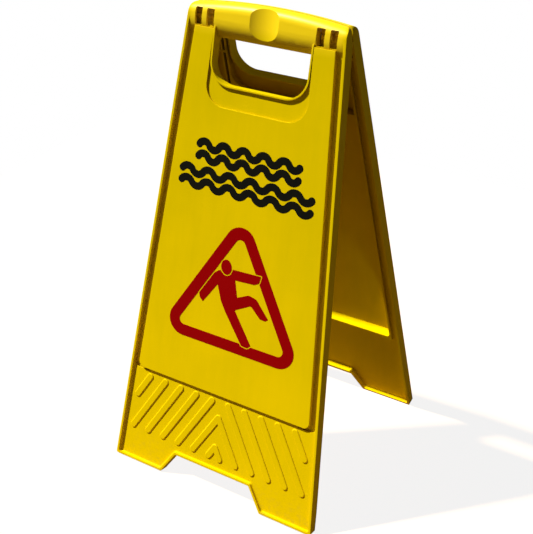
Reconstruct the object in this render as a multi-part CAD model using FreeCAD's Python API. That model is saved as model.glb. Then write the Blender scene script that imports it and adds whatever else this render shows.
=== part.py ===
"""Folding A-frame wet floor sign, standing open. Millimetres, +Z up.

The origin is at the bottom centre of the open sign. The hinge axis runs along X at the top, the
front panel's feet are at -Y and the rear panel's at +Y. Both panels are the same moulding.

A panel is built flat in its own frame: x across, y up from the hinge axis, z out of the face, with
z = 0 where the two panels meet when the sign is folded. Drops are lengths down from the axis.
"""
import FreeCAD, Part
import math
import os

V = FreeCAD.Vector

# --- overall size -------------------------------------------------------------------------------
footDrop = 590.4          # hinge axis to the feet, measured down the panel
footHalf = 150.3          # half width at the feet
hingeHalf = 102.0         # half width at the hinge axis
halfAngle = 13.74         # lean of each panel from upright when the sign stands open
depth = 16.0              # hinge axis to the front of the rim, square to the face
crownMiddle = 22.6        # top of the handle above the axis, in the middle
crownEnd = 15.0           # top of the panel above the axis, at its corners

# --- moulding -----------------------------------------------------------------------------------
wall = 2.6                # general wall thickness
rimWall = 3.4             # thickness of the rim around the panel
rimRound = 0.7            # rounding of the rim's outer front edge
crownRound = 13.0         # rounding of the top edge, seen from the side
topCorner = 8.0           # rounding of the top corners, seen from the front
footCorner = 3.2          # rounding of the outer corners of the feet
mateGap = 0.25            # gap of each panel to the folding plane, at the hinge
footTaper = 2.4           # by this much the panel is thinner at the feet than at the hinge
stopGap = 0.16            # gap of the stop pads and webs to the plane where the halves butt
seamGap = 1.2             # gap of the handle's shell to the same plane
seamRound = 0.5           # rounding along the seam between the two shells

# --- feet ---------------------------------------------------------------------------------------
notchDepth = 32.0         # height of the notch between the feet
notchTopHalf = 56.0       # half width of the notch at its top
notchFootHalf = 76.0      # half width of the notch at the floor
notchCorner = 2.0         # rounding of the notch's corners
notchSlope = 0.27         # slope of the notch's top, down to the back
heelRise = 26.0           # the feet are cut back below this height
heelLevel = 4.0           # level of the feet's back at their ends
footLand = 7.2            # level where the flat under the feet ends, in front

# --- face levels, below the rim's front ----------------------------------------------------------
fieldSink = 0.4
apronSink = 3.8
grooveSink = 6.0
moatSink = 2.7

# --- face layout ----------------------------------------------------------------------------------
fieldEdge = 12.15         # panel side to the side of the raised field
apronTall = 137.4         # field's lower edge above the feet
fieldCorner = 8.0         # rounding of the field's lower corners
fieldRound = 0.9          # rounding of the field's edge
stileTop = 10.8           # drop of the field's upper end, under the windows
grooveEnd = 3.0           # length of the side grooves past the field
grooveCorner = 8.5        # rounding of the side grooves' lower outer corners
apronFillet = 2.2         # fillet between the apron and the rim
chevronPitch = 24.0       # spacing of the chevron ribs across the apron
chevronFirst = 12.0       # first rib from the middle, at the top of the apron
chevronInset = 10.5       # field's lower edge to the ribs' upper ends
chevronRise = 17.4        # ribs' lower ends above the top of the notch
chevronAngle = 29.8       # lean of the ribs from upright
chevronWidth = 8.8
chevronHeight = 1.3
chevronRound = 1.2
chevronSide = 17.0        # end of the short outer ribs from the panel's side

# --- grip ---------------------------------------------------------------------------------------
gripHalf = 62.3           # half width of the grip hole
gripBottom = 71.4         # drop of the hole's lower edge
gripCorner = 26.0         # rounding of the hole's lower corners
handleDrop = 21.0         # drop of the handle's underside
lipWall = 2.1             # collar around the grip hole
lipTop = 8.0              # drop of the collar's upper ends
moatTopHalf = 64.5        # half width of the recess around the collar, at its top
moatHalf = 67.8           # half width of the recess around the collar, at its corners
moatBottom = 97.3         # drop of the recess's lower edge
moatCorner = 25.0         # rounding of the recess's lower corners
scoopHalf = 18.5          # half width of the round recess in the handle
scoopDepth = 4.9          # depth of that recess in the middle
handleRibs = (-42.0, -21.0, 0.0, 21.0, 42.0)
ribWall = 2.0

# --- hinge --------------------------------------------------------------------------------------
pinRadius = 3.0
pinFit = 0.05             # radial clearance of a pin in its knuckles
pinEndGap = 0.4           # pin to the rim
knuckleRadius = 5.5
knuckleStart = 66.1       # inner end of the first knuckle
knuckleLength = 7.2
knuckleGap = 0.6
knuckleWeb = 3.2          # thickness of the webs that carry a knuckle
hingeRoomDepth = 11.9     # depth of the hollow behind the upper end of the field
windowTop = 10.0          # windows above the axis
windowDrop = 9.5          # windows below the axis
windows = ((65.5, 75.5), (82.0, 91.0))
windowCorner = 0.8

# --- stiffening on the back ----------------------------------------------------------------------
frameSet = 3.2            # frame rib behind the field's edge, back from the folding plane
stileRibDrop = 45.0       # rib across each stile
stileRibSet = 4.0         # stile's inner wall to the upright rib
cavityCorner = 5.0
ledgeSlope = 0.5          # slope of the hollow's lower side

# --- printed graphics -----------------------------------------------------------------------------
# Their drops count from the lower edge of the recess around the grip, and on a shorter field they
# are printed smaller.
printThickness = 0.2
printRoom = 355.7         # length of bare field that they are drawn for
symbolWide = 210.0        # lower side of the triangle, measured to its sharp corners
symbolTall = 179.0
symbolBase = 291.9        # drop of the triangle's lower edge
symbolShift = 3.8         # the triangle sits this far to the right
symbolStroke = 14.6
symbolCorner = 21.0       # outer rounding of the triangle's corners
symbolInner = 7.0         # inner rounding of the triangle's corners
keyline = 1.4             # bare line around the walker where it meets the triangle
waveStroke = 9.0
waveHeight = 8.0          # height of a wave, crest to trough along its middle
waveArc = 14.1            # width of one arc, about
waveRows = ((38.7, 67.5), (71.7, 88.0))   # top drop, half width

tilt = math.radians(halfAngle)
tableHeight = footDrop * math.cos(tilt) - footLand * math.sin(tilt)
footSlope = math.tan(tilt)
fieldBottom = footDrop - apronTall
chevronTop = fieldBottom + chevronInset
chevronFoot = footDrop - notchDepth - chevronRise
printScale = min(1.0, (fieldBottom - moatBottom) / printRoom)
far = 1000.0
clear = 5.0               # how far the cutting tools reach past the panel


def halfWidth(drop, edge=0.0):
    """Half width of the panel at a drop, less a margin measured square to its side."""
    slope = (footHalf - hingeHalf) / footDrop
    return hingeHalf + slope * drop - edge * math.hypot(1.0, slope)


def roundedWire(points, level=0.0):
    """Closed wire through (x, drop, radius) corners."""
    corners = [(V(x, -drop, level), radius) for x, drop, radius in points]
    edges = []
    ends = []
    for i, (corner, radius) in enumerate(corners):
        before = (corners[i - 1][0] - corner).normalize()
        after = (corners[(i + 1) % len(corners)][0] - corner).normalize()
        if radius == 0.0:
            ends.append((corner, None, corner))
            continue
        half = before.getAngle(after) / 2
        reach = radius / math.tan(half)
        middle = (before + after).normalize() * (radius / math.sin(half) - radius)
        ends.append((corner + before * reach, corner + middle, corner + after * reach))
    for i, (start, middle, end) in enumerate(ends):
        if middle is not None:
            edges.append(Part.Arc(start, middle, end).toShape())
        edges.append(Part.makeLine(end, ends[(i + 1) % len(ends)][0]))
    return Part.Wire(edges)


def slab(points, low, high):
    """Prism over (x, drop, radius) corners, from one level to another."""
    return Part.Face(roundedWire(points, low)).extrude(V(0, 0, high - low))


def printSlab(points, low, high):
    """Prism over corners of the graphics, given as x, drop under the grip's recess and radius."""
    placed = [(x * printScale, moatBottom + drop * printScale, radius * printScale)
              for x, drop, radius in points]
    return slab(placed, low, high)


def block(x0, x1, drop0, drop1, low, high):
    """Box between two x values, two drops and two levels."""
    return Part.makeBox(x1 - x0, drop1 - drop0, high - low, V(x0, -drop1, low))


def wedge(half, drop, level, lowDrop, low):
    """Wedge across the middle, from a line at one level to a wider face at another."""
    corners = [V(-half, -drop, level), V(-half, -drop, low), V(-half, -lowDrop, low),
               V(-half, -drop, level)]
    return Part.Face(Part.makePolygon(corners)).extrude(V(2 * half, 0, 0))


def mirrored(shape):
    """The shape and its mirror image across the panel."""
    return [shape, shape.mirror(V(0, 0, 0), V(1, 0, 0))]


def filletWhere(shape, radius, wanted):
    """Fillet the edges whose middle point passes a test."""
    edges = [edge for edge in shape.Edges if wanted(edge.valueAt(
        (edge.FirstParameter + edge.LastParameter) / 2))]
    return shape.makeFillet(radius, edges)


def outlinePoints(margin, bottom, top, notchRound, footRound, topRound=0.0):
    """Corners of the panel's outline, moved in by a margin except along its top."""
    run = notchFootHalf - notchTopHalf
    slant = math.hypot(notchDepth, run)
    notchTop = footDrop - notchDepth - margin
    side = run / notchDepth
    topX = notchTopHalf + margin * (slant - run) / notchDepth
    footX = topX + side * (bottom - margin - notchTop)
    footY = bottom - margin
    right = [(halfWidth(top, margin), top, topRound), (halfWidth(footY, margin), footY, footRound),
             (footX, footY, notchRound), (topX, notchTop, notchRound)]
    return right + [(-x, drop, radius) for x, drop, radius in reversed(right)]


def archBody(inset):
    """Slab with the arched top of the panel, moved in on its outer sides."""
    rise = crownMiddle - inset
    sag = crownMiddle - crownEnd
    radius = (hingeHalf ** 2 + sag ** 2) / (2 * sag)
    reach = footHalf * 1.1
    end = rise - radius + math.sqrt(radius ** 2 - reach ** 2)
    low = -footDrop * 1.1
    left, right = V(-reach, end, -depth), V(reach, end, -depth)
    arch = Part.Arc(left, V(0, rise, -depth), right).toShape()
    lower = Part.makePolygon([right, V(reach, low, -depth), V(-reach, low, -depth), left])
    return Part.Face(Part.Wire([arch] + lower.Edges)).extrude(V(0, 0, 2 * depth - inset))


def crownBody(inset):
    """The arched slab with its top front edge rounded."""
    front = depth - inset
    end = crownMiddle - footHalf / 2
    return filletWhere(archBody(inset), crownRound - inset,
                       lambda p: p.z > front - 0.01 and p.y > end)


def underHandle(inset, x0, x1, drop):
    """What lies in front of the handle's rounded lower half, down to a drop."""
    height, reach = handleDrop - inset, depth - inset
    ellipse = Part.Ellipse(V(0, 0, 0), height, reach)
    solid = Part.Face(Part.Wire(ellipse.toShape())).extrude(V(0, 0, x1 - x0))
    solid.rotate(V(0, 0, 0), V(0, 0, 1), 90)
    solid.rotate(V(0, 0, 0), V(0, 1, 0), 90)
    solid.translate(V(x0, 0, 0))
    return block(x0, x1, 0, drop, 0, depth + clear).cut(solid)


def scoop(radius):
    """Upright cylinder that hollows the round recess into the handle."""
    ring = (scoopHalf ** 2 + scoopDepth ** 2) / (2 * scoopDepth)
    axis = depth - scoopDepth + ring
    cylinder = Part.makeCylinder(ring + radius, 2 * handleDrop, V(0, -handleDrop, axis), V(0, 1, 0))
    return cylinder


def fieldPoints(margin, top, bottom, corner):
    """Corners of the raised field, moved in by a margin from its sides."""
    right = [(halfWidth(top, fieldEdge + margin), top, 0.0),
             (halfWidth(bottom, fieldEdge + margin), bottom, corner)]
    return right + [(-x, drop, radius) for x, drop, radius in reversed(right)]


def gripPoints(margin, top, topHalf, half, bottom, corner):
    """Corners of the grip hole, or of an outline around it."""
    right = [(topHalf + margin, top, 0.0), (half + margin, bottom + margin, corner + margin)]
    return right + [(-x, drop, radius) for x, drop, radius in reversed(right)]


def chevrons():
    """Raised ribs on the apron, mirrored into nested chevrons."""
    level = depth - apronSink
    slope = math.tan(math.radians(chevronAngle))
    run = (chevronFoot - chevronTop) * slope
    ribs = []
    start = chevronFirst - 2 * chevronPitch
    while start < halfWidth(chevronTop, chevronSide):
        top = V(start, chevronTop, 0)
        foot = V(start + run, chevronFoot, 0)
        if start < 0:
            top = V(0, chevronTop - start / slope, 0)
        side = halfWidth(chevronFoot, chevronSide)
        if foot.x > side + chevronPitch / 2:
            foot = V(side - chevronPitch / 8, chevronTop + (side - chevronPitch / 8 - start) / slope, 0)
            foot.x = halfWidth(foot.y, chevronSide)
            foot.y = chevronTop + (foot.x - start) / slope
        ribs.append(chevron(top, foot, level))
        start += chevronPitch
    return [half for rib in ribs for half in mirrored(rib)]


def chevron(top, foot, level):
    """One rib with round ends, between two points given as x and drop."""
    along = (foot - top).normalize()
    across = V(-along.y, along.x, 0) * (chevronWidth / 2)
    corners = [top + across, foot + across, foot - across, top - across]
    ends = [top - along * (chevronWidth / 2), foot + along * (chevronWidth / 2)]
    flat = [V(p.x, -p.y, level - 1.0) for p in corners + ends]
    wire = Part.Wire([Part.makeLine(flat[0], flat[1]), Part.Arc(flat[1], flat[5], flat[2]).toShape(),
                      Part.makeLine(flat[2], flat[3]), Part.Arc(flat[3], flat[4], flat[0]).toShape()])
    rib = Part.Face(wire).extrude(V(0, 0, 1.0 + chevronHeight))
    return filletWhere(rib, chevronRound, lambda p: p.z > level + chevronHeight - 0.01)


def outerShape():
    """The panel as a full block: outline, rounded top, rim edge and the faces at its back."""
    outline = slab(outlinePoints(0, footDrop, -2 * crownMiddle, notchCorner, footCorner),
                   mateGap, depth)
    notchTop = footDrop - notchDepth
    body = outline.common(archBody(0))
    corner = halfWidth(-crownEnd)
    body = filletWhere(body, topCorner, lambda p: abs(p.x) > corner - 2 and p.y > crownEnd - 4
                       and mateGap + 1 < p.z < depth - 1)
    body = body.common(crownBody(0))
    body = filletWhere(body, rimRound, lambda p: p.z > depth - 0.01 and p.y < -1)
    body = body.fuse(wedge(notchTopHalf + rimWall, notchTop, depth - rimRound,
                           notchTop + notchSlope * depth, 0))
    body = body.cut([stopTool(seamGap), mateTool(), heelTool()])
    return filletWhere(body, seamRound, lambda p: p.y > seamGap
                       and abs(p.z - seamGap - p.y * footSlope) < 0.01)


def frontTools():
    """Everything cut from the panel's front."""
    top = depth + clear
    collar = slab(gripPoints(lipWall, -gripBottom, gripHalf, gripHalf, gripBottom, gripCorner),
                  -clear, top)
    recess = slab(outlinePoints(rimWall, footDrop, stileTop, notchCorner, footCorner),
                  depth - fieldSink, top).cut(collar)
    field = slab(fieldPoints(0, -stileTop, fieldBottom, fieldCorner), 0, depth - fieldSink)
    level = depth - fieldSink
    field = filletWhere(field, fieldRound, lambda p: p.z > level - 0.01 and p.y < 0)
    grooveFoot = fieldBottom + grooveEnd
    band = [(halfWidth(stileTop, rimWall), stileTop, 0.0),
            (halfWidth(grooveFoot, rimWall), grooveFoot, grooveCorner),
            (halfWidth(grooveFoot, fieldEdge + 2 * fieldCorner), grooveFoot, 0.0),
            (halfWidth(stileTop, 2 * fieldEdge), stileTop, 0.0)]
    groove = slab(band, depth - grooveSink, top).cut(field)
    groove = groove.common(underHandle(0, 0, footHalf, footDrop))
    apron = apronTool(top).cut(field)
    moat = slab(gripPoints(0, stileTop, moatTopHalf, moatHalf, moatBottom, moatCorner),
                depth - moatSink, top).cut(collar)
    tools = mirrored(groove) + [recess, apron, moat]
    tools += [scoop(0)]
    tools += [slab(gripPoints(0, handleDrop, gripHalf, gripHalf, gripBottom, gripCorner),
                   -clear, top)]
    tools += [underHandle(0, -gripHalf, gripHalf, handleDrop + 1)]
    lip = gripHalf + lipWall
    tools += mirrored(underHandle(0, gripHalf, lip, lipTop))
    side = slab([(lip, 0, 0.0), (halfWidth(0, rimWall), 0, 0.0),
                 (halfWidth(stileTop, rimWall), stileTop, 0.0), (lip, stileTop, 0.0)], 0, top)
    tools += mirrored(side.common(underHandle(0, lip, hingeHalf, stileTop)))
    for near, away in windows:
        window = slab([(near, -windowTop, windowCorner), (away, -windowTop, windowCorner),
                       (away, windowDrop, windowCorner), (near, windowDrop, windowCorner)], 0, top)
        tools += mirrored(window)
    return tools


def apronTool(top):
    """The sunk apron between the field and the rim, with filleted edges along the rim."""
    level = depth - apronSink
    start = fieldBottom - fieldCorner
    points = outlinePoints(rimWall, footDrop, start, notchCorner + apronFillet / 2, footCorner)
    tool = slab(points, level, top)
    return filletWhere(tool, apronFillet, lambda p: p.z < level + 0.01 and p.y < -start - 1)


def backTools():
    """Everything cut from the panel's back, leaving an even wall and its ribs."""
    low = -clear
    fieldLevel = depth - fieldSink - wall
    moatLevel = depth - moatSink - wall
    grooveLevel = depth - grooveSink - wall
    apronLevel = depth - apronSink - wall
    shelf = handleDrop + wall
    ledge = (fieldLevel - frameSet) * ledgeSlope
    # main hollow behind the field, and the channels beside it
    tools = [hollow(moatBottom + wall, fieldBottom - wall, low, fieldLevel)]
    step = fieldBottom + grooveEnd + ledge
    channel = slab([(halfWidth(shelf, rimWall), shelf, 0.0),
                    (halfWidth(step + wall, rimWall), step + wall, 0.0),
                    (halfWidth(step + wall, fieldEdge), step + wall, 0.0),
                    (halfWidth(shelf, fieldEdge), shelf, 0.0)], low, grooveLevel)
    tools += mirrored(channel)
    tools += [slab(fieldPoints(-1, shelf, step + 1, 0.0), low, frameSet)]
    # apron, stepping down beside the ends of the grooves
    inner = halfWidth(fieldBottom, fieldEdge + 2 * fieldCorner)
    points = outlinePoints(rimWall, footDrop, step, notchCorner, footCorner - 1)
    near = fieldBottom + ledge
    points += [(-inner, step, 0.0), (-inner, near, 1.0), (inner, near, 1.0), (inner, step, 0.0)]
    tools += [slab(points, low, apronLevel)]
    notchTop = footDrop - notchDepth - rimWall
    tools += [wedge(notchTopHalf, notchTop, apronLevel, notchTop + (apronLevel - low) * ledgeSlope, low)]
    # stiles, with a rib across each and one down it
    for top, foot in ((shelf, stileRibDrop), (stileRibDrop + wall, moatBottom)):
        inner = moatHalf + wall
        upright = inner + stileRibSet
        narrow = block(inner, upright, top, foot, low, fieldLevel)
        wide = slab([(upright + ribWall, top, 0.0), (halfWidth(top, fieldEdge + wall), top, 1.0),
                     (halfWidth(foot, fieldEdge + wall), foot, 1.0), (upright + ribWall, foot, 0.0)],
                    low, fieldLevel)
        tools += mirrored(narrow) + mirrored(wide)
    # behind the recess around the collar
    collar = slab(gripPoints(lipWall, -gripBottom, gripHalf, gripHalf, gripBottom, gripCorner),
                  2 * low, depth)
    tools += [slab(gripPoints(0, shelf, moatHalf, moatHalf, moatBottom, moatCorner),
                   low, moatLevel).cut(collar)]
    return tools + headTools()


def hollow(top, bottom, low, level):
    """The main hollow, whose lower side slopes out to the back."""
    wires = []
    for height, foot in ((low, bottom + (level - low) * ledgeSlope), (level, bottom)):
        right = [(halfWidth(top, fieldEdge + wall), top, cavityCorner),
                 (halfWidth(foot, fieldEdge + wall), foot, cavityCorner)]
        left = [(-x, drop, radius) for x, drop, radius in reversed(right)]
        wires.append(roundedWire(right + left, height))
    return Part.makeLoft(wires, True, True)


def headTools():
    """Hollows of the handle and of the two hinge rooms beside it."""
    crown = crownBody(wall)
    handle = crown.common(block(-gripHalf, gripHalf, -far, handleDrop - wall, -depth, depth))
    handle = handle.cut(underHandle(wall, -gripHalf, gripHalf, handleDrop)).cut(scoop(wall))
    for x in handleRibs:
        handle = handle.cut(block(x - ribWall / 2, x + ribWall / 2, -far, far, -far, far))
    inner = gripHalf + lipWall
    room = crown.common(slab([(inner, -2 * crownMiddle, 0.0),
                              (halfWidth(-2 * crownMiddle, rimWall), -2 * crownMiddle, 0.0),
                              (halfWidth(handleDrop, rimWall), handleDrop, 0.0),
                              (inner, handleDrop, 0.0)], -depth, depth))
    room = room.cut(underHandle(wall, inner, hingeHalf * 1.1, stileTop - 0.5))
    room = room.cut(block(inner, hingeHalf * 1.1, stileTop - 0.5, far, hingeRoomDepth, far))
    groove = slab([(halfWidth(stileTop, fieldEdge + wall), stileTop, 0.0),
                   (hingeHalf * 1.1, stileTop, 0.0), (hingeHalf * 1.1, handleDrop + 1, 0.0),
                   (halfWidth(handleDrop, fieldEdge + wall), handleDrop + 1, 0.0)],
                  depth - grooveSink - wall, far)
    room = room.cut(groove)
    return [handle] + mirrored(room)


def stopTool(gap):
    """What lies behind a plane near the one where the halves butt when the sign stands open."""
    edge = 4 * crownMiddle
    corners = [V(-far, 0, gap), V(-far, edge, gap + edge * footSlope),
               V(-far, edge, -far), V(-far, 0, -far), V(-far, 0, gap)]
    return Part.Face(Part.makePolygon(corners)).extrude(V(2 * far, 0, 0))


def stopPads():
    """Pads on the handle's ribs, which meet those of the other half."""
    layer = stopTool(seamGap + ribWall).cut(stopTool(stopGap))
    layer = layer.common(crownBody(wall / 2))
    return [layer.common(block(x - ribWall / 2, x + ribWall / 2, -far, -seamGap, -far, far))
            for x in handleRibs]


def mateTool():
    """What lies behind the back of the panel, which tapers down to the feet."""
    corners = [V(-far, 0, mateGap), V(-far, -2 * footDrop, mateGap + 2 * footTaper),
               V(-far, -2 * footDrop, -far), V(-far, 0, -far), V(-far, 0, mateGap)]
    return Part.Face(Part.makePolygon(corners)).extrude(V(2 * far, 0, 0))


def heelTool():
    """What lies behind the ends of the feet."""
    start = footDrop - heelRise
    level = mateGap + footTaper * start / footDrop
    end = level + (heelLevel - level) * 2
    corners = [V(-far, -start, level), V(-far, -start - 2 * heelRise, end),
               V(-far, -start - 2 * heelRise, -far), V(-far, -start, -far),
               V(-far, -start, level)]
    return Part.Face(Part.makePolygon(corners)).extrude(V(2 * far, 0, 0))


def knuckle(place, side):
    """One knuckle and the webs that carry it; place counts out from the grip."""
    start = knuckleStart + place * (knuckleLength + knuckleGap)
    x = start if side > 0 else -start - knuckleLength
    barrel = Part.makeCylinder(knuckleRadius, knuckleLength, V(x, 0, 0), V(1, 0, 0))
    top = crownEnd - wall / 2
    behind = stopGap + math.hypot(1, footSlope) * knuckleWeb
    upper = [V(x, 0, stopGap), V(x, top, stopGap + top * footSlope),
             V(x, top, behind + top * footSlope), V(x, 0, behind), V(x, 0, stopGap)]
    webUp = Part.Face(Part.makePolygon(upper)).extrude(V(knuckleLength, 0, 0))
    webDown = block(x, x + knuckleLength, 0, handleDrop + wall / 2, mateGap, mateGap + knuckleWeb)
    return [barrel, webUp, webDown]


def pinShape(side, radius, inner, outer):
    """Cylinder on the hinge axis, on one side of the panel."""
    x = inner if side > 0 else -outer
    return Part.makeCylinder(radius, outer - inner, V(x, 0, 0), V(1, 0, 0))


def panel():
    """One whole panel in its own frame."""
    body = outerShape()
    body = body.cut(frontTools())
    body = body.cut(backTools())
    body = body.fuse(chevrons())
    pieces = stopPads()
    for side, places in ((1, (0, 2)), (-1, (1, 3))):
        for place in places:
            pieces += knuckle(place, side)
    body = body.fuse(pieces)
    bore = pinRadius + pinFit
    outer = halfWidth(0, rimWall)
    body = body.cut([pinShape(side, bore, gripHalf - 1, outer) for side in (1, -1)])
    floor = Part.makeBox(4 * footHalf, far, far, V(-2 * footHalf, -far / 2, -far))
    floor.translate(V(0, 0, -tableHeight))
    floor.rotate(V(0, 0, 0), V(1, 0, 0), halfAngle - 90)
    return body.cut(floor).removeSplitter()


# The slipping walker, limb by limb: corners as (x from the triangle's middle, drop under the hips,
# rounding). The head is an ellipse.
walkerHips = 56.0         # hips above the triangle's lower edge
walkerHead = {"x": -15.6, "drop": -49.1, "tall": 9.3, "wide": 7.5, "lean": 100.0}
walkerLimbs = {
    "trunk": ((-24.7, -43.5, 4.0), (-6.0, -48.4, 1.0), (-1.5, -36.1, 0.0), (3.9, -15.4, 0.0),
              (3.5, 1.5, 0.0), (-10.6, 6.7, 0.0), (-18.2, -5.7, 9.0), (-25.2, -24.4, 0.0)),
    "reachingArm": ((-7.2, -48.4, 0.0), (32.9, -50.3, 0.6), (31.2, -41.6, 2.0), (25.3, -37.9, 4.0),
                    (-1.5, -36.1, 0.0), (-10.2, -42.2, 0.0)),
    "trailingArm": ((-23.7, -44.0, 3.0), (-31.6, -37.8, 5.0), (-50.1, -6.8, 3.0),
                    (-48.4, -1.2, 1.0), (-43.5, 3.3, 0.6), (-25.2, -24.4, 0.0),
                    (-17.2, -35.2, 0.0)),
    "kickingLeg": ((1.8, -14.6, 0.0), (19.8, -23.0, 5.0), (30.4, -20.6, 5.0), (49.4, -0.4, 0.6),
                   (45.4, 2.6, 1.5), (38.1, 2.0, 3.0), (23.8, -10.6, 3.0), (0.8, 2.3, 0.0)),
    "standingLeg": ((0.8, -1.2, 0.0), (30.3, 39.7, 0.6), (25.8, 44.0, 2.5), (17.3, 43.4, 3.5),
                    (-10.6, 6.7, 0.0), (-10.2, -1.2, 0.0)),
}


def walkerHeadPrint(margin, low, high):
    """The walker's head, grown by a margin."""
    ellipse = Part.Ellipse(V(0, 0, 0), walkerHead["tall"] * printScale + margin,
                           walkerHead["wide"] * printScale + margin)
    head = Part.Face(Part.Wire(ellipse.toShape()))
    head.rotate(V(0, 0, 0), V(0, 0, 1), walkerHead["lean"])
    x = (symbolShift + walkerHead["x"]) * printScale
    drop = moatBottom + (symbolBase - walkerHips + walkerHead["drop"]) * printScale
    head.translate(V(x, -drop, low))
    return head.extrude(V(0, 0, high - low))


def walkerBodyPrint(margin, low, high):
    """The walker's trunk and limbs, grown by a margin."""
    solids = []
    for corners in walkerLimbs.values():
        placed = [(symbolShift + x, symbolBase - walkerHips + drop, radius)
                  for x, drop, radius in corners]
        limb = printSlab(placed, low, high)
        if margin > 0:
            bottom = [face for face in limb.Faces if face.BoundBox.ZMax < low + margin / 2]
            limb = bottom[0].makeOffset2D(margin).extrude(V(0, 0, high - low))
        solids.append(limb)
    return solids


def triangle(margin, corner, low, high):
    """Rounded triangle, moved in by a margin on all three sides."""
    half = math.atan2(symbolWide / 2, symbolTall)
    foot = symbolWide / 2 - margin / math.tan((math.pi / 2 - half) / 2)
    base = symbolBase - margin
    peak = symbolBase - symbolTall + margin / math.sin(half)
    return printSlab([(symbolShift, peak, corner), (symbolShift + foot, base, corner),
                      (symbolShift - foot, base, corner)], low, high)


def symbolPrint():
    """Triangle with the walker, as thin solids on the field."""
    low, high = depth - fieldSink, depth - fieldSink + printThickness
    ring = triangle(0, symbolCorner, low, high)
    ring = ring.cut(triangle(symbolStroke, symbolInner, low - 1, high + 1))
    clearance = [walkerHeadPrint(keyline, low - 1, high + 1)]
    ring = ring.cut(clearance + walkerBodyPrint(keyline, low - 1, high + 1))
    body = walkerBodyPrint(0, low, high)
    walker = body[0].fuse(body[1:]).cut(clearance).removeSplitter()
    head = walkerHeadPrint(0, low, high)
    return Part.makeCompound(ring.Solids + walker.Solids + [head])


def wavePrint():
    """Two rows of bold waves, as thin solids on the field."""
    low, high = depth - fieldSink, depth - fieldSink + printThickness
    pitch = waveStroke + waveHeight / 2 + keyline
    rows = []
    for top, half in waveRows:
        for line in range(2):
            middle = top + (waveStroke + waveHeight) / 2 + line * pitch
            rows.append(wave(middle, half, low, high))
    return Part.makeCompound([solid for row in rows for solid in row.Solids])


def wave(drop, half, low, high):
    """One wave line: arcs that turn up and down by turns, with round ends."""
    middle = moatBottom + drop * printScale
    count = round(half / waveArc)
    chord = half / count * printScale
    stroke = waveStroke * printScale
    rise = waveHeight * printScale / 2
    radius = (chord * chord / 4 + rise * rise) / (2 * rise)
    reach = 2 * (radius + stroke)
    spread = chord / 2 * reach / math.hypot(chord / 2, radius - rise)
    fall = (radius - rise) * reach / math.hypot(chord / 2, radius - rise)
    pieces = []
    for i in range(2 * count):
        x = (i + 0.5 - count) * chord
        sign = 1 if i % 2 == 0 else -1
        centre = V(x, -middle - sign * (radius - rise), low)
        outer = Part.makeCylinder(radius + stroke / 2, high - low, centre)
        inner = Part.makeCylinder(radius - stroke / 2, high - low, centre)
        corners = [centre, centre + V(-spread, sign * fall, 0), centre + V(0, sign * reach * 1.5, 0),
                   centre + V(spread, sign * fall, 0), centre]
        wedge = Part.Face(Part.makePolygon(corners)).extrude(V(0, 0, high - low))
        pieces.append(outer.cut(inner).common(wedge))
    for x in (-count * chord, count * chord):
        pieces.append(Part.makeCylinder(stroke / 2, high - low, V(x, -middle, low)))
    return pieces[0].fuse(pieces[1:]).removeSplitter()


def stand(shape, rear=False):
    """Lean a shape from the panel's frame into its place on the open sign."""
    placed = shape.copy()
    placed.rotate(V(0, 0, 0), V(1, 0, 0), 90 - halfAngle)
    placed.translate(V(0, 0, tableHeight))
    if rear:
        placed.rotate(V(0, 0, 0), V(0, 0, 1), 180)
    return placed


def export(name, shape):
    """Write one node and say what it holds."""
    solids = shape.Solids
    shape = solids[0] if len(solids) == 1 else Part.makeCompound(solids)
    shape.exportStep("parts/%s.step" % name)
    box = shape.BoundBox
    print("%-20s solids %2d valid %s volume %9.1f  x %.1f..%.1f y %.1f..%.1f z %.1f..%.1f" % (
        name, len(solids), shape.isValid(), shape.Volume, box.XMin, box.XMax, box.YMin, box.YMax,
        box.ZMin, box.ZMax))


def main():
    os.makedirs("parts", exist_ok=True)
    moulding = panel()
    symbol = symbolPrint()
    waves = wavePrint()
    for name, rear in (("front", False), ("rear", True)):
        export(name + "_panel", stand(moulding, rear))
        export(name + "_symbol_print", stand(symbol, rear))
        export(name + "_wave_print", stand(waves, rear))
    outer = halfWidth(0, rimWall) - pinEndGap
    for name, side in (("right", 1), ("left", -1)):
        export(name + "_hinge_pin", stand(pinShape(side, pinRadius, gripHalf, outer)))


main()
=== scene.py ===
import math
import bpy
from mathutils import Matrix, Vector

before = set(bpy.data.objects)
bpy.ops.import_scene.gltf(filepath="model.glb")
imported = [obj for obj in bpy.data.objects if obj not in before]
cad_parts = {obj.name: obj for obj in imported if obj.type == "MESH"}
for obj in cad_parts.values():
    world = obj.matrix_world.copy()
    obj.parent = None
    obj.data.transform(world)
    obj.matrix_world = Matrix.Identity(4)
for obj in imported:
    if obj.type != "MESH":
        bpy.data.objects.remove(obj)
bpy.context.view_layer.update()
print("frame loaded")


def toLinear(red, green, blue):
    # a colour written 0 to 255, as the render engine wants it
    parts = [v / 255 for v in (red, green, blue)]
    return [v / 12.92 if v <= 0.04045 else ((v + 0.055) / 1.055) ** 2.4 for v in parts] + [1.0]


def addNode(tree, kind, values=None, **settings):
    # a node with its settings and its unlinked input values
    node = tree.nodes.new(kind)
    for name, value in settings.items():
        setattr(node, name, value)
    for name, value in (values or {}).items():
        node.inputs[name].default_value = value
    return node


def newMaterial(name):
    material = bpy.data.materials.new(name)
    material.use_nodes = True
    material.node_tree.nodes.clear()
    return material, material.node_tree


def dress(node, material):
    # the CAD piece keeps its mesh and gets the finish in all its slots
    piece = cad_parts[node]
    for place in piece.material_slots:
        place.material = material
    if not piece.material_slots:
        piece.data.materials.append(material)


def noise(tree, vector, scale, detail, rough=0.5):
    node = addNode(tree, "ShaderNodeTexNoise", {"Scale": scale, "Detail": detail, "Roughness": rough})
    tree.links.new(vector, node.inputs["Vector"])
    return node.outputs["Fac"]


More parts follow.
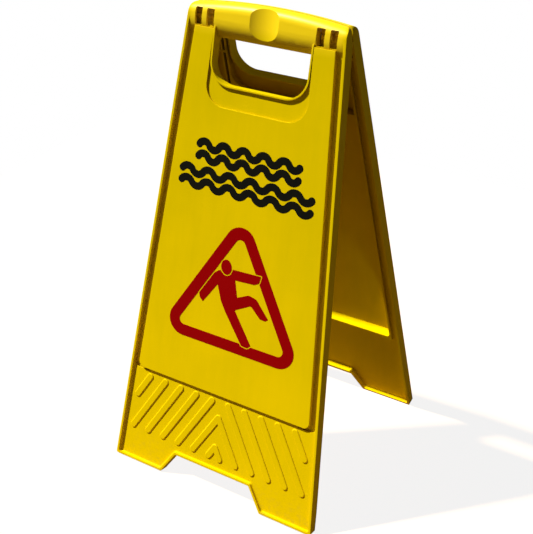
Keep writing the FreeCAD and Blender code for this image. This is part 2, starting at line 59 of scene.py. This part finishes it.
def remap(tree, value, low, high, newLow=0.0, newHigh=1.0):
    node = addNode(tree, "ShaderNodeMapRange", {"From Min": low, "From Max": high,
                                                "To Min": newLow, "To Max": newHigh})
    tree.links.new(value, node.inputs["Value"])
    return node.outputs["Result"]


def maths(tree, operation, *terms):
    # a term is a number or another node's output
    node = addNode(tree, "ShaderNodeMath", operation=operation)
    for i, term in enumerate(terms):
        if isinstance(term, (int, float)):
            node.inputs[i].default_value = term
        else:
            tree.links.new(term, node.inputs[i])
    return node.outputs["Value"]


def blend(tree, share, first, second):
    # this share of the first value and the rest of the second
    return maths(tree, "ADD", maths(tree, "MULTIPLY", first, share),
                 maths(tree, "MULTIPLY", second, 1 - share))


def mixColour(tree, amount, under, over):
    node = addNode(tree, "ShaderNodeMix", data_type="RGBA")
    tree.links.new(amount, node.inputs["Factor"])
    for name, value in (("A", under), ("B", over)):
        place = [i for i in node.inputs if i.name == name and i.type == "RGBA"][0]
        if isinstance(value, list):
            place.default_value = value
        else:
            tree.links.new(value, place)
    return [o for o in node.outputs if o.type == "RGBA"][0]


def stretched(tree, vector, scale, turn=0.0):
    node = addNode(tree, "ShaderNodeMapping", {"Scale": scale, "Rotation": (0.0, 0.0, turn)})
    tree.links.new(vector, node.inputs["Vector"])
    return node.outputs["Vector"]


def connect(tree, shader, colour, roughness, normal):
    # the patterns go to the shader, and the shader to the surface
    output = addNode(tree, "ShaderNodeOutputMaterial")
    for name, value in (("Base Color", colour), ("Roughness", roughness), ("Normal", normal)):
        tree.links.new(value, shader.inputs[name])
    tree.links.new(shader.outputs["BSDF"], output.inputs["Surface"])


panelLean = math.radians(13.74)  # from upright, with the sign standing open


def objectPlaces(tree):
    return addNode(tree, "ShaderNodeTexCoord").outputs["Object"]


def panelPlaces(tree, places, rear):
    # object coordinates turned so that X runs across the panel and Y up it
    turn = (math.pi / 2 - panelLean, 0.0, math.pi if rear else 0.0)
    mapping = addNode(tree, "ShaderNodeMapping", {"Rotation": turn}, vector_type="TEXTURE")
    tree.links.new(places, mapping.inputs["Vector"])
    return mapping.outputs["Vector"]


# here and below a noise is (scale, detail, roughness) and a range is (where it starts, where it is full)
moulding = {
    "yellow": toLinear(240, 205, 0),
    "deep": toLinear(214, 187, 0),      # where the melt ran thicker, and painted shade higher up the panel
    "cloudNoise": (9.0, 3.0),
    "flowNoise": (1.0, 4.0, 0.6),
    "flowStretch": (70.0, 9.0, 20.0),   # streaks run up the panel
    "flowShare": 0.35,
    "streakRange": (0.40, 0.62),
    "streakShare": 0.35,                # the rest of the tone is painted light by height
    "paintedLightHeights": (0.60, 0.0),         # painted light: paler towards the feet
    "paintedHandleLight": toLinear(246, 210, 6),   # painted light: the handle's barrel made paler, standing in for light falling more squarely on it
    "handleHeights": (0.556, 0.572),
    "handleEnds": (0.101, 0.095),       # measured from the middle of the handle
    "handlePolish": 0.4,
    "polishRoughness": 0.38,
    "scuffAndEdgeHighlight": toLinear(250, 212, 22),  # rubbed edges and scratches, and painted highlight along the edges
    "edgeMarkRadius": 0.0016,
    "edgeMarkFacing": (0.995, 0.90),
    "patchNoise": (45.0, 5.0, 0.7),
    "patchRange": (0.30, 0.62),
    "edgeWearAndHighlightStrength": 0.8,
    "scratchSets": ((0.5, (26.0, 620.0, 200.0)), (-0.9, (34.0, 760.0, 260.0))),  # turn and stretch
    "scratchNoise": (1.0, 2.0, 0.4),
    "scratchWidth": 0.010,
    "groupNoise": (16.0, 2.0),
    "groupRange": (0.50, 0.72),
    "scratchStrength": 0.35,
    "paintedHollowShade": toLinear(128, 102, 0),     # painted shade in the grooves and other narrow hollows
    "paintedShadeReach": 0.010,
    "paintedShadeRange": (0.62, 0.28),
    "paintedShadeStrength": 0.7,
    "dust": toLinear(176, 150, 60),
    "dustHeights": (0.055, 0.0),
    "dustNoise": (130.0, 6.0, 0.75),
    "dustRange": (0.50, 0.70),
    "dustStrength": 0.35,
    "rippleNoise": (26.0, 2.0),         # slight waviness of a large thin wall
    "rippleHeight": 0.00018,
    "grainNoise": (1500.0, 2.0),
    "grainHeight": 0.000012,
    "edgeRadius": 0.0007,
    "shineNoise": (33.0, 5.0, 0.65),
    "shineRange": (0.35, 0.65),
    "roughness": (0.34, 0.46),
    "rubbedRoughness": 0.2,             # added where the plastic is rubbed
    "whiteGloss": 0.0,                  # off the handle, gloss keeps the plastic's own colour
    "tintedGloss": 0.04,
    "refraction": 1.49,
    "edgeSamples": 4,
    "hollowSamples": 4,
}


def meltAndPaintedLightColour(tree, across, height):
    # slow clouds and faint flow lines, and painted light: a paler tone towards the feet
    cloud = noise(tree, across, *moulding["cloudNoise"])
    flow = noise(tree, stretched(tree, across, moulding["flowStretch"]), *moulding["flowNoise"])
    streaks = remap(tree, blend(tree, moulding["flowShare"], flow, cloud), *moulding["streakRange"])
    paintedLowLight = remap(tree, height, *moulding["paintedLightHeights"])
    tone = blend(tree, moulding["streakShare"], streaks, paintedLowLight)
    return mixColour(tree, tone, moulding["deep"], moulding["yellow"])


def handleArea(tree, sideways, height):
    # 1 on the handle, and 0 before the panel's side faces
    inside = remap(tree, maths(tree, "ABSOLUTE", sideways), *moulding["handleEnds"])
    return maths(tree, "MULTIPLY", remap(tree, height, *moulding["handleHeights"]), inside)


def edgeWearAndHighlight(tree, across):
    # wear and painted highlight along edges: the rounded normal leaves the true one only close to an
    # edge
    rounded = addNode(tree, "ShaderNodeBevel", {"Radius": moulding["edgeMarkRadius"]},
                      samples=moulding["edgeSamples"])
    geometry = addNode(tree, "ShaderNodeNewGeometry")
    facing = addNode(tree, "ShaderNodeVectorMath", operation="DOT_PRODUCT")
    tree.links.new(rounded.outputs["Normal"], facing.inputs[0])
    tree.links.new(geometry.outputs["True Normal"], facing.inputs[1])
    edge = remap(tree, facing.outputs["Value"], *moulding["edgeMarkFacing"])
    patches = remap(tree, noise(tree, across, *moulding["patchNoise"]), *moulding["patchRange"])
    return maths(tree, "MULTIPLY", edge, patches)


def fineScratches(tree, across):
    # the middle value of a stretched noise draws thin lines, kept in loose groups
    marks = []
    for turn, stretch in moulding["scratchSets"]:
        lines = noise(tree, stretched(tree, across, stretch, turn), *moulding["scratchNoise"])
        distance = maths(tree, "ABSOLUTE", maths(tree, "SUBTRACT", lines, 0.5))
        marks.append(remap(tree, distance, moulding["scratchWidth"], 0.0))
    groups = remap(tree, noise(tree, across, *moulding["groupNoise"]), *moulding["groupRange"])
    return maths(tree, "MULTIPLY", maths(tree, "MAXIMUM", *marks), groups)


def paintedHollowShadeMask(tree):
    # painted shade: a darker colour where the moulding is narrow and deep
    hollow = addNode(tree, "ShaderNodeAmbientOcclusion", {"Distance": moulding["paintedShadeReach"]},
                     samples=moulding["hollowSamples"], only_local=True)
    shadeAmount = remap(tree, hollow.outputs["AO"], *moulding["paintedShadeRange"])
    return maths(tree, "MULTIPLY", shadeAmount, moulding["paintedShadeStrength"])


def floorDust(tree, across, height):
    # specks of floor dust near the feet
    low = remap(tree, height, *moulding["dustHeights"])
    specks = remap(tree, noise(tree, across, *moulding["dustNoise"]), *moulding["dustRange"])
    return maths(tree, "MULTIPLY", maths(tree, "MULTIPLY", low, specks), moulding["dustStrength"])


def wallRelief(tree, across, scratches):
    # softened edges, then the wall's waviness, then the moulded grain with the scratches cut in
    normal = addNode(tree, "ShaderNodeBevel", {"Radius": moulding["edgeRadius"]},
                     samples=moulding["edgeSamples"]).outputs["Normal"]
    ripple = noise(tree, across, *moulding["rippleNoise"])
    grain = maths(tree, "SUBTRACT", noise(tree, across, *moulding["grainNoise"]), scratches)
    for height, depth in ((ripple, moulding["rippleHeight"]), (grain, moulding["grainHeight"])):
        bump = addNode(tree, "ShaderNodeBump", {"Strength": 1.0, "Distance": depth})
        tree.links.new(height, bump.inputs["Height"])
        tree.links.new(normal, bump.inputs["Normal"])
        normal = bump.outputs["Normal"]
    return normal


def makeMoulding(name, rear):
    material, tree = newMaterial(name)
    places = objectPlaces(tree)
    across = panelPlaces(tree, places, rear)
    level = addNode(tree, "ShaderNodeSeparateXYZ")
    tree.links.new(places, level.inputs["Vector"])
    height = level.outputs["Z"]

    handleLightAndPolish = handleArea(tree, level.outputs["X"], height)
    # edge wear that also paints a highlight along the edges
    worn = maths(tree, "MULTIPLY", edgeWearAndHighlight(tree, across), moulding["edgeWearAndHighlightStrength"])
    scratches = fineScratches(tree, across)
    rubbedAndHighlighted = maths(tree, "MAXIMUM", worn,
                   maths(tree, "MULTIPLY", scratches, moulding["scratchStrength"]))

    colour = meltAndPaintedLightColour(tree, across, height)
    # painted light: the handle made paler in colour; the same area also gets a clear coat
    colour = mixColour(tree, handleLightAndPolish, colour, moulding["paintedHandleLight"])
    # scratches and edge wear, with painted highlight along the edges
    colour = mixColour(tree, rubbedAndHighlighted, colour, moulding["scuffAndEdgeHighlight"])
    # painted shade: narrow hollows darkened in the colour
    colour = mixColour(tree, paintedHollowShadeMask(tree), colour, moulding["paintedHollowShade"])
    colour = mixColour(tree, floorDust(tree, across, height), colour, moulding["dust"])

    shine = remap(tree, noise(tree, across, *moulding["shineNoise"]), *moulding["shineRange"],
                  *moulding["roughness"])
    roughness = maths(tree, "ADD", shine,
                      maths(tree, "MULTIPLY", rubbedAndHighlighted, moulding["rubbedRoughness"]))
    shader = addNode(tree, "ShaderNodeBsdfPrincipled", {
        "Metallic": moulding["tintedGloss"], "IOR": moulding["refraction"],
        "Specular IOR Level": moulding["whiteGloss"], "Coat Roughness": moulding["polishRoughness"]})
    polish = maths(tree, "MULTIPLY", handleLightAndPolish, moulding["handlePolish"])
    tree.links.new(polish, shader.inputs["Coat Weight"])
    connect(tree, shader, colour, roughness, wallRelief(tree, across, scratches))
    return material


dress("front_panel", makeMoulding("yellowMouldingFront", False))
dress("rear_panel", makeMoulding("yellowMouldingRear", True))
print("panels dressed")


ink = {
    "red": {"full": toLinear(146, 0, 2), "thin": toLinear(153, 4, 2)},
    "black": {"full": toLinear(12, 12, 6), "thin": toLinear(26, 24, 10)},
    "starvedNoise": (420.0, 4.0, 0.7),  # specks where the screen gave too little ink
    "starvedRange": (0.60, 0.74),
    "cloudNoise": (24.0, 3.0),
    "cloudRange": (0.40, 0.66),
    "cloudStrength": 0.35,
    "weavePitch": 900.0,                # the printing screen's weave, left faintly in the ink
    "weaveDistortion": 0.4,
    "weaveShare": 0.3,
    "skinNoise": (700.0, 3.0),
    "inkHeight": 0.000010,
    "shineNoise": (60.0, 4.0),
    "shineRange": (0.35, 0.65),
    "roughness": (0.38, 0.52),
    "gloss": 0.04,
    "refraction": 1.48,
}


def makeInk(name, colours, rear):
    material, tree = newMaterial(name)
    across = panelPlaces(tree, objectPlaces(tree), rear)
    starved = remap(tree, noise(tree, across, *ink["starvedNoise"]), *ink["starvedRange"])
    cloud = remap(tree, noise(tree, across, *ink["cloudNoise"]), *ink["cloudRange"],
                  0.0, ink["cloudStrength"])
    thinness = maths(tree, "MAXIMUM", starved, cloud)
    colour = mixColour(tree, thinness, colours["full"], colours["thin"])

    weave = addNode(tree, "ShaderNodeTexWave", {"Scale": ink["weavePitch"],
                                                "Distortion": ink["weaveDistortion"]})
    tree.links.new(across, weave.inputs["Vector"])
    skin = maths(tree, "ADD", noise(tree, across, *ink["skinNoise"]),
                 maths(tree, "MULTIPLY", weave.outputs["Fac"], ink["weaveShare"]))
    bump = addNode(tree, "ShaderNodeBump", {"Strength": 1.0, "Distance": ink["inkHeight"]})
    tree.links.new(skin, bump.inputs["Height"])

    shine = remap(tree, noise(tree, across, *ink["shineNoise"]), *ink["shineRange"],
                  *ink["roughness"])
    shader = addNode(tree, "ShaderNodeBsdfPrincipled", {"IOR": ink["refraction"],
                                                        "Specular IOR Level": ink["gloss"]})
    connect(tree, shader, colour, shine, bump.outputs["Normal"])
    return material


for side, rear in (("front", False), ("rear", True)):
    dress(side + "_symbol_print", makeInk("redInk_" + side, ink["red"], rear))
    dress(side + "_wave_print", makeInk("blackInk_" + side, ink["black"], rear))
print("prints dressed")


rod = {
    "steel": toLinear(176, 176, 172),
    "worn": toLinear(120, 116, 108),
    "stainNoise": (150.0, 4.0),
    "stainRange": (0.52, 0.70),
    "drawStretch": (20.0, 900.0, 900.0),  # drawing lines run along the rod
    "drawNoise": (1.0, 4.0, 0.6),
    "drawRange": (0.3, 0.7),
    "drawStrength": 0.6,
    "drawHeight": 0.00002,
    "roughness": (0.22, 0.42),
}


def makeRodSteel(name):
    material, tree = newMaterial(name)
    places = objectPlaces(tree)
    lines = noise(tree, stretched(tree, places, rod["drawStretch"]), *rod["drawNoise"])
    stain = remap(tree, noise(tree, places, *rod["stainNoise"]), *rod["stainRange"])
    colour = mixColour(tree, stain, rod["steel"], rod["worn"])
    roughness = remap(tree, lines, *rod["drawRange"], *rod["roughness"])
    bump = addNode(tree, "ShaderNodeBump", {"Strength": rod["drawStrength"],
                                            "Distance": rod["drawHeight"]})
    tree.links.new(lines, bump.inputs["Height"])
    shader = addNode(tree, "ShaderNodeBsdfPrincipled", {"Metallic": 1.0})
    connect(tree, shader, colour, roughness, bump.outputs["Normal"])
    return material


rodSteel = makeRodSteel("drawnSteel")
for node in ("left_hinge_pin", "right_hinge_pin"):
    dress(node, rodSteel)
print("hinge rods dressed")


studio = {
    "white": (1.0, 1.0, 1.0, 1.0),
    "floorReach": 0.9,
    "floorColour": (0.25, 0.155, 0.08, 1.0),
    "floorGlow": 0.88,               # added where the floor is seen, so that it reads white
    "fill": 0.03,                    # light from all round on the object
    "keyDirection": (-0.51, -0.236, 0.827),
    "keyStrength": 5.9,
    "keyAngle": math.radians(1.6),
}


def seenDirectly(tree):
    # 1 for rays that show the background: straight, mirrored or through glass
    path = addNode(tree, "ShaderNodeLightPath")
    seen = maths(tree, "MAXIMUM", path.outputs["Is Camera Ray"], path.outputs["Is Glossy Ray"])
    return maths(tree, "MAXIMUM", seen, path.outputs["Is Transmission Ray"])


def makeFloor():
    reach = studio["floorReach"]
    corners = [(-reach, -reach, 0), (reach, -reach, 0), (reach, reach, 0), (-reach, reach, 0)]
    mesh = bpy.data.meshes.new("floor")
    mesh.from_pydata(corners, [], [(0, 1, 2, 3)])
    floor = bpy.data.objects.new("floor", mesh)
    bpy.context.scene.collection.objects.link(floor)

    material, tree = newMaterial("paleFloor")
    link = tree.links.new
    matt = addNode(tree, "ShaderNodeBsdfDiffuse", {"Color": studio["floorColour"]})
    glow = addNode(tree, "ShaderNodeEmission", {"Color": studio["white"]})
    both = addNode(tree, "ShaderNodeAddShader")
    output = addNode(tree, "ShaderNodeOutputMaterial")
    link(maths(tree, "MULTIPLY", seenDirectly(tree), studio["floorGlow"]), glow.inputs["Strength"])
    link(matt.outputs["BSDF"], both.inputs[0])
    link(glow.outputs["Emission"], both.inputs[1])
    link(both.outputs["Shader"], output.inputs["Surface"])
    mesh.materials.append(material)


def makeWorld():
    world = bpy.data.worlds.new("studio")
    world.use_nodes = True
    tree = world.node_tree
    tree.nodes.clear()
    background = addNode(tree, "ShaderNodeBackground", {"Color": studio["white"]})
    output = addNode(tree, "ShaderNodeOutputWorld")
    strength = remap(tree, seenDirectly(tree), 0.0, 1.0, studio["fill"], 1.0)
    tree.links.new(strength, background.inputs["Strength"])
    tree.links.new(background.outputs["Background"], output.inputs["Surface"])
    bpy.context.scene.world = world


def makeKey():
    key = bpy.data.lights.new("key", "SUN")
    key.energy = studio["keyStrength"]
    key.angle = studio["keyAngle"]
    lamp = bpy.data.objects.new("key", key)
    lamp.rotation_mode = "QUATERNION"
    lamp.rotation_quaternion = Vector(studio["keyDirection"]).to_track_quat("Z", "Y")
    bpy.context.scene.collection.objects.link(lamp)


makeFloor()
makeWorld()
makeKey()
print("floor and light ready")


cameraSet = {
    "place": (0.54908, -0.92585, 0.90503),
    "back": (0.4417, -0.7360, 0.5131),
    "right": (0.8575, 0.5146, 0.0),
    "lens": 66.36,
    "sensor": 36.0,
    "shift": (0.00131, -0.00075),
    "clip": (0.05, 100.0),
}


def makeCamera():
    data = bpy.data.cameras.new("camera")
    data.sensor_fit = "AUTO"
    data.sensor_width = cameraSet["sensor"]
    data.lens = cameraSet["lens"]
    data.shift_x, data.shift_y = cameraSet["shift"]
    data.clip_start, data.clip_end = cameraSet["clip"]
    back = Vector(cameraSet["back"]).normalized()
    up = back.cross(Vector(cameraSet["right"])).normalized()
    axes = Matrix((up.cross(back), up, back)).transposed()  # right, up and back as columns
    camera = bpy.data.objects.new("camera", data)
    camera.matrix_world = Matrix.Translation(cameraSet["place"]) @ axes.to_4x4()
    bpy.context.scene.collection.objects.link(camera)
    bpy.context.scene.camera = camera


makeCamera()
bpy.context.scene.view_settings.view_transform = "Standard"
print("camera ready")
